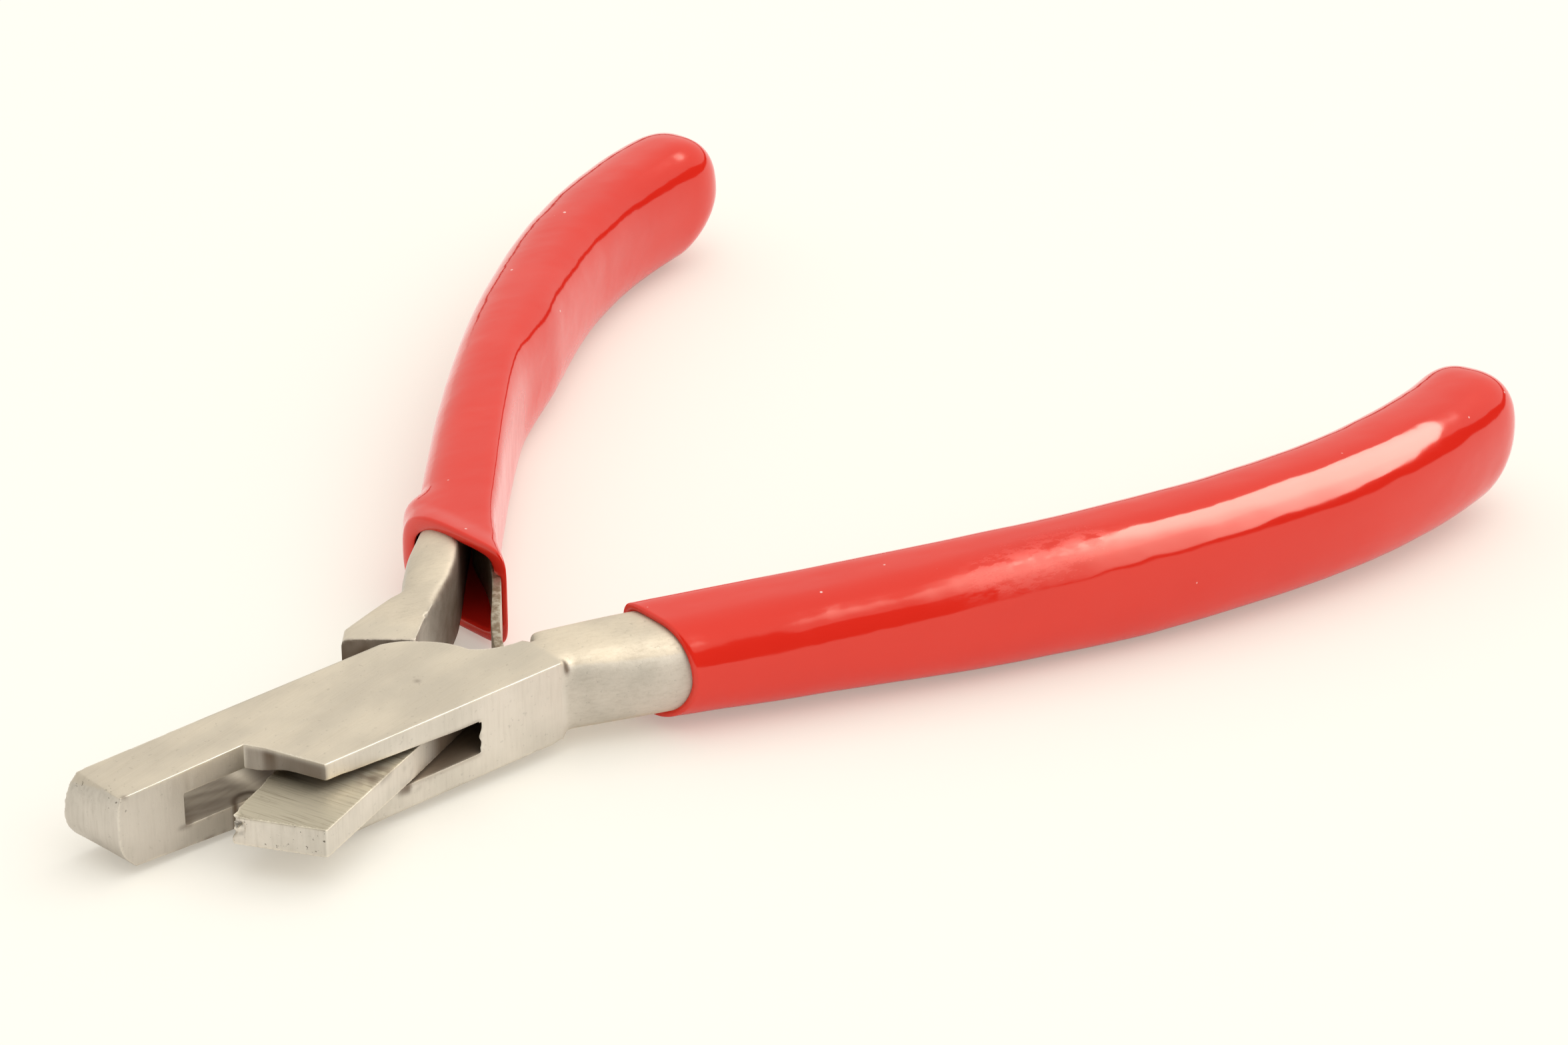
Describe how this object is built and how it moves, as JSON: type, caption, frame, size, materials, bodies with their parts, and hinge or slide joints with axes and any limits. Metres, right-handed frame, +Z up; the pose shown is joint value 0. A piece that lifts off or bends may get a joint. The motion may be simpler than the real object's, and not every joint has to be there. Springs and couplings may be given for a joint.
{
  "type": "strap notching pliers",
  "caption": "Sprung box-joint pliers with dipped grips whose flat punching blade closes into a slotted die nose to cut a notch in a strap.",
  "frame": {"origin": "on the pivot axis, at the flat underside of the box", "axes": "+X towards the handles, so the die nose points to -X, +Z up out of the flat of the tool"},
  "size_m": [0.1418, 0.1024, 0.0126],
  "materials": {
    "steel": "satin ground, nickel tinted",
    "spring_steel": "dark tempered strip",
    "red_vinyl": "glossy dipped vinyl"
  },
  "bodies": {
    "slotted_body": {"slotted_half": "steel", "pivot_pin": "steel", "near_grip": "red_vinyl"},
    "tongue_body": {"tongue_half": "steel", "far_grip": "red_vinyl", "leaf_spring": "spring_steel", "spring_rivet": "steel"}
  },
  "joints": [
    {"name": "jaw_pivot", "type": "hinge", "parent": "slotted_body", "child": "tongue_body", "pos_m": [0, 0, 0.0038], "axis": [0, 0, -1], "range_deg": [0, 26], "stiffness_Nm_per_rad": 1.5, "springref_deg": -8.59, "deforming": ["leaf_spring"]}
  ]
}
